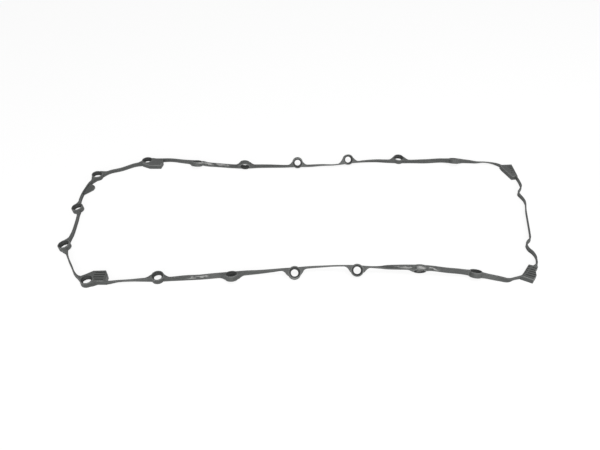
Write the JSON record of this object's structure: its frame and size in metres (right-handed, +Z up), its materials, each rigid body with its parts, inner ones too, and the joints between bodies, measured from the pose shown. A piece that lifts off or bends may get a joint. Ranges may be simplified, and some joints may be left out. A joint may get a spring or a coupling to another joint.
{
  "type": "oil pan gasket",
  "caption": "Moulded black rubber oil pan gasket: a twisted thin loop with seventeen bolt rings and four ribbed corner pads.",
  "frame": {"origin": "middle of the footprint, on the floor", "axes": "+X along the length towards the notched end, +Y from the near long side to the far one, +Z up"},
  "size_m": [0.4836, 0.2114, 0.0131],
  "materials": {
    "rubber": "matte"
  },
  "bodies": {
    "root": {"gasket": "rubber"}
  },
  "joints": []
}
